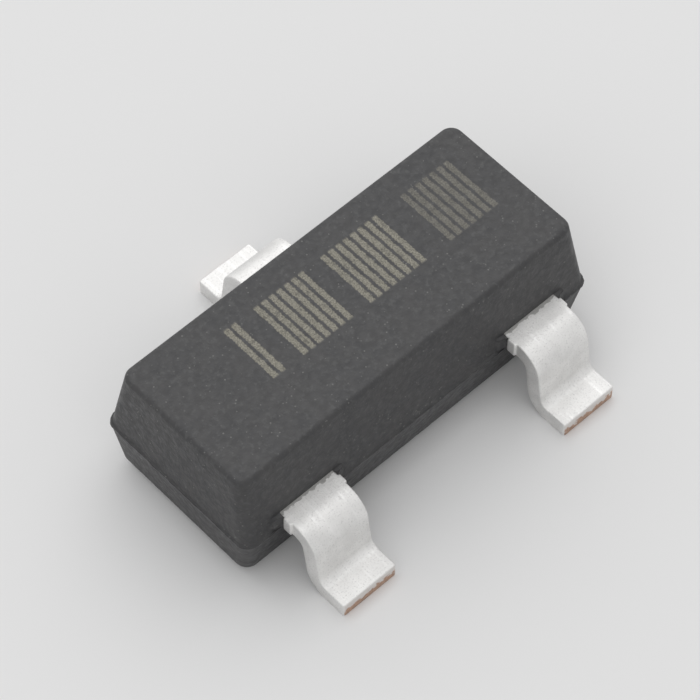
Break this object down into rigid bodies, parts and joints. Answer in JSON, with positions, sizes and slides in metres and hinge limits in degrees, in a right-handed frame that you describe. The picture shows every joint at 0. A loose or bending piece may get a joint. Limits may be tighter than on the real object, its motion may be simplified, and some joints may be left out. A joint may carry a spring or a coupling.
{
  "type": "general purpose transistor",
  "caption": "Small surface-mount transistor: a drafted moulded body with gull-wing leads on its two long sides.",
  "frame": {"origin": "on the board surface, under the middle of the part", "axes": "+X along the body from the base lead to the emitter lead, +Y towards the collector lead, +Z away from the board"},
  "size_m": [0.003, 0.0024, 0.001],
  "materials": {
    "epoxy": "fine matte, as moulded",
    "lead_finish": "matte tin plating",
    "solder": "dull",
    "silicon": "polished",
    "contact_metal": "bright film",
    "gold": "drawn wire"
  },
  "bodies": {
    "root": {"moulded_body": "epoxy", "collector_lead": "lead_finish", "base_lead": "lead_finish", "emitter_lead": "lead_finish", "die_attach": "solder", "silicon_die": "silicon", "base_contact": "contact_metal", "emitter_contact": "contact_metal", "base_bond_wire": "gold", "emitter_bond_wire": "gold"}
  },
  "joints": []
}
